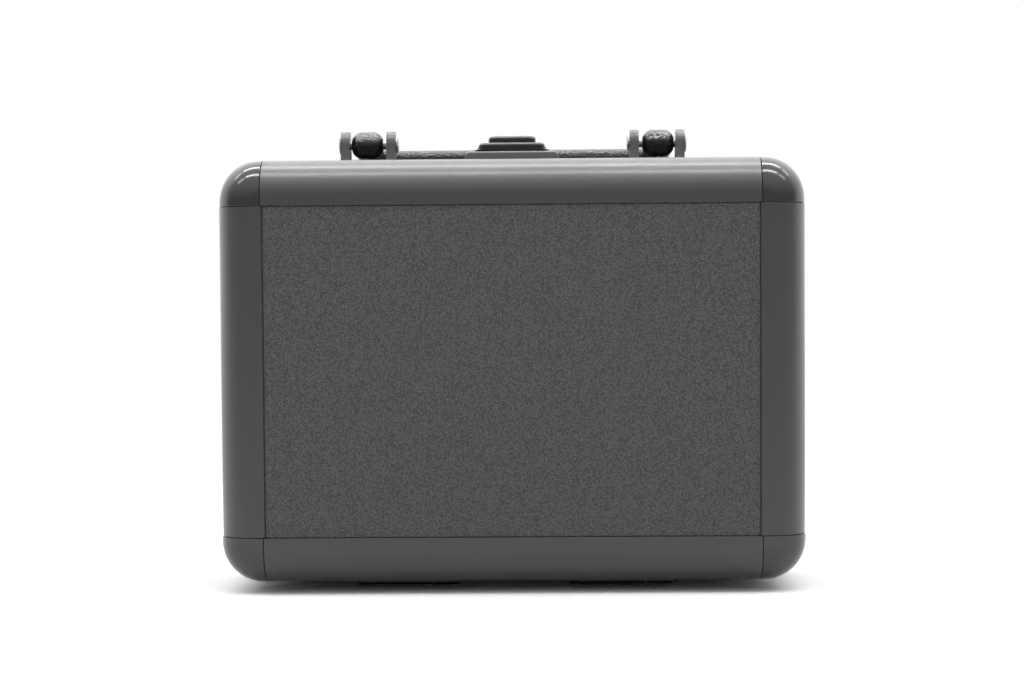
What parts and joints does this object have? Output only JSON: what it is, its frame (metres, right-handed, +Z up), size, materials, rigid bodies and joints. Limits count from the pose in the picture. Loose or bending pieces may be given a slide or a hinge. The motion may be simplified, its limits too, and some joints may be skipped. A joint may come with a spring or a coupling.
{
  "type": "graded card storage case",
  "caption": "Hard case with framed shells, round corners, a fold-down handle and a keyed hasp, with foam inside that holds graded cards on edge.",
  "frame": {"origin": "on the surface that the case stands on, under the middle of its width and depth", "axes": "+X along the width, to the right as the lid is seen; +Y from the lid's face to the base's back; +Z up, from the hinges to the handle"},
  "size_m": [0.284, 0.112, 0.2271],
  "materials": {
    "face_panel": "fine pebble grain, dark grey",
    "frame": "satin black",
    "corner": "gloss black",
    "foam": "closed-cell foam, black",
    "hinge": "semi-gloss black",
    "pin": "plain steel",
    "foot": "matte black",
    "bracket": "matte dark grey",
    "handle": "gloss black with a pebble grain",
    "latch_plate": "matte dark grey",
    "hasp": "gloss black",
    "key_plug": "nickel"
  },
  "bodies": {
    "base": {"base_face_panel": "face_panel", "base_frame_top": "frame", "base_frame_bottom": "frame", "base_frame_left": "frame", "base_frame_right": "frame", "base_corner_top_left": "corner", "base_corner_top_right": "corner", "base_corner_bottom_left": "corner", "base_corner_bottom_right": "corner", "base_foam": "foam", "foam_divider_1": "foam", "foam_divider_2": "foam", "hinge_left_base_leaf": "hinge", "hinge_right_base_leaf": "hinge", "hinge_left_pin": "pin", "hinge_right_pin": "pin", "foot_front_left": "foot", "foot_front_right": "foot", "foot_rear_left": "foot", "foot_rear_right": "foot", "handle_bracket_left": "bracket", "handle_bracket_right": "bracket", "handle_pin_left": "pin", "handle_pin_right": "pin", "latch_base": "latch_plate", "hasp_pin": "pin"},
    "lid": {"lid_face_panel": "face_panel", "lid_frame_top": "frame", "lid_frame_bottom": "frame", "lid_frame_left": "frame", "lid_frame_right": "frame", "lid_corner_top_left": "corner", "lid_corner_top_right": "corner", "lid_corner_bottom_left": "corner", "lid_corner_bottom_right": "corner", "lid_foam": "foam", "strike": "latch_plate", "hinge_left_lid_leaf": "hinge", "hinge_right_lid_leaf": "hinge"},
    "handle": {"handle": "handle"},
    "hasp": {"hasp": "hasp", "lock_bezel": "hasp"},
    "lock": {"lock_plug": "key_plug", "lock_cam": "pin"}
  },
  "joints": [
    {"name": "lid_hinge", "type": "hinge", "parent": "base", "child": "lid", "pos_m": [0, -0.006, 0.00245], "axis": [1, 0, 0], "range_deg": [0, 105]},
    {"name": "handle_fold", "type": "hinge", "parent": "base", "child": "handle", "pos_m": [0, 0.006, 0.2203], "axis": [1, 0, 0], "range_deg": [0, 190]},
    {"name": "hasp_swing", "type": "hinge", "parent": "base", "child": "hasp", "pos_m": [0, 0.019, 0.2162], "axis": [-1, 0, 0], "range_deg": [0, 100]},
    {"name": "lock_turn", "type": "hinge", "parent": "hasp", "child": "lock", "pos_m": [0, 0.001, 0.2157], "axis": [0, 0, -1], "range_deg": [0, 90]}
  ]
}
